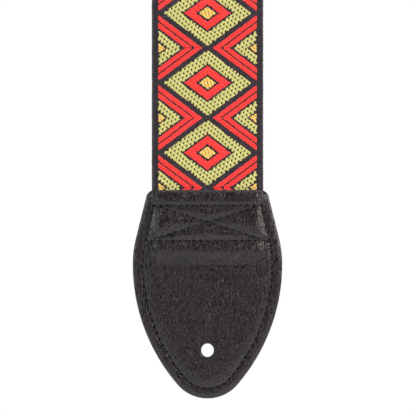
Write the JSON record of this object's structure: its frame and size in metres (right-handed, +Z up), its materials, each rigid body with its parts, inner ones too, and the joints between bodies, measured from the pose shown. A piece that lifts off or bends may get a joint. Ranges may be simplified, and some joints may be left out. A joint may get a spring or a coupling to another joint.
{
  "type": "guitar strap",
  "caption": "Adjustable guitar strap of patterned ribbon on webbing, with stitched leather button tabs, a slide and a ring, hung over a peg.",
  "frame": {"origin": "centre of the bend over the peg that the strap hangs from", "axes": "+X across the strap's width, +Y from the front leg to the back leg, +Z up; the front leg's patterned face looks along -Y"},
  "size_m": [0.0684, 0.0504, 0.718],
  "materials": {
    "ribbon": "black jacquard ribbon with raised figured yarns",
    "backing": "plain black polyester webbing",
    "edge_thread": "black sewing thread, lock stitched",
    "tab_leather": "black pebbled leather, semi-matt",
    "tab_thread": "heavy black sewing thread",
    "slide_plastic": "black moulded plastic, satin",
    "ring_wire": "steel wire, gloss black coating"
  },
  "bodies": {
    "crown": {"crown_ribbon": "ribbon", "crown_backing": "backing", "crown_edge_thread": "edge_thread"},
    "front_leg": {"front_leg_ribbon": "ribbon", "front_leg_backing": "backing", "front_leg_edge_thread": "edge_thread"},
    "front_tab": {"front_tab_face_leather": "tab_leather", "front_tab_back_leather": "tab_leather", "front_tab_needle_thread": "tab_thread", "front_tab_bobbin_thread": "tab_thread", "front_end_ribbon": "ribbon", "front_end_backing": "backing", "front_end_edge_thread": "edge_thread"},
    "back_leg": {"back_leg_ribbon": "ribbon", "back_leg_backing": "backing", "back_leg_edge_thread": "edge_thread"},
    "adjuster": {"slide": "slide_plastic", "end_loop_ribbon": "ribbon", "end_loop_backing": "backing", "end_loop_edge_thread": "edge_thread", "end_loop_box_thread": "tab_thread", "return_span_ribbon": "ribbon", "return_span_backing": "backing", "return_span_edge_thread": "edge_thread"},
    "ring_fold": {"ring_fold_ribbon": "ribbon", "ring_fold_backing": "backing", "ring_fold_edge_thread": "edge_thread"},
    "ring": {"ring": "ring_wire"},
    "tail": {"tail_loop": "backing"},
    "tail_tab": {"tail_end": "backing", "tail_tab_face_leather": "tab_leather", "tail_tab_back_leather": "tab_leather", "tail_tab_needle_thread": "tab_thread", "tail_tab_bobbin_thread": "tab_thread"}
  },
  "joints": [
    {"name": "front_leg_swing", "type": "hinge", "parent": "crown", "child": "front_leg", "pos_m": [0, 0, 0], "axis": [-1, 0, 0], "range_deg": [0, 90], "deforming": ["crown_ribbon", "crown_backing", "crown_edge_thread"]},
    {"name": "back_leg_swing", "type": "hinge", "parent": "crown", "child": "back_leg", "pos_m": [0, 0, 0], "axis": [1, 0, 0], "range_deg": [0, 90], "deforming": ["crown_ribbon", "crown_backing", "crown_edge_thread"]},
    {"name": "front_tab_flex", "type": "hinge", "parent": "front_leg", "child": "front_tab", "pos_m": [0, -0.02125, -0.594], "axis": [1, 0, 0], "range_deg": [-60, 60], "deforming": ["front_end_ribbon", "front_end_backing", "front_end_edge_thread"]},
    {"name": "adjuster_slide", "type": "slide", "parent": "back_leg", "child": "adjuster", "axis": [0, 0, 1], "range_m": [-0.34, 0], "deforming": ["return_span_ribbon", "return_span_backing", "return_span_edge_thread"]},
    {"name": "fold_travel", "type": "slide", "parent": "back_leg", "child": "ring_fold", "axis": [0, 0, 1], "range_m": [-0.17, 0], "deforming": ["back_leg_ribbon", "back_leg_backing", "back_leg_edge_thread"]},
    {"name": "ring_swing", "type": "hinge", "parent": "ring_fold", "child": "ring", "pos_m": [0, 0.01785, -0.345], "axis": [1, 0, 0], "range_deg": [-3, 90]},
    {"name": "tail_swing", "type": "hinge", "parent": "ring", "child": "tail", "pos_m": [0, 0.01785, -0.358], "axis": [1, 0, 0], "range_deg": [-3, 75]},
    {"name": "tail_tab_flex", "type": "hinge", "parent": "tail", "child": "tail_tab", "pos_m": [0, 0.01785, -0.388], "axis": [1, 0, 0], "range_deg": [-6, 60], "deforming": ["tail_end"]}
  ],
  "couplings": [
    {"joint": "fold_travel", "follows": "adjuster_slide", "ratio": 0.5}
  ]
}
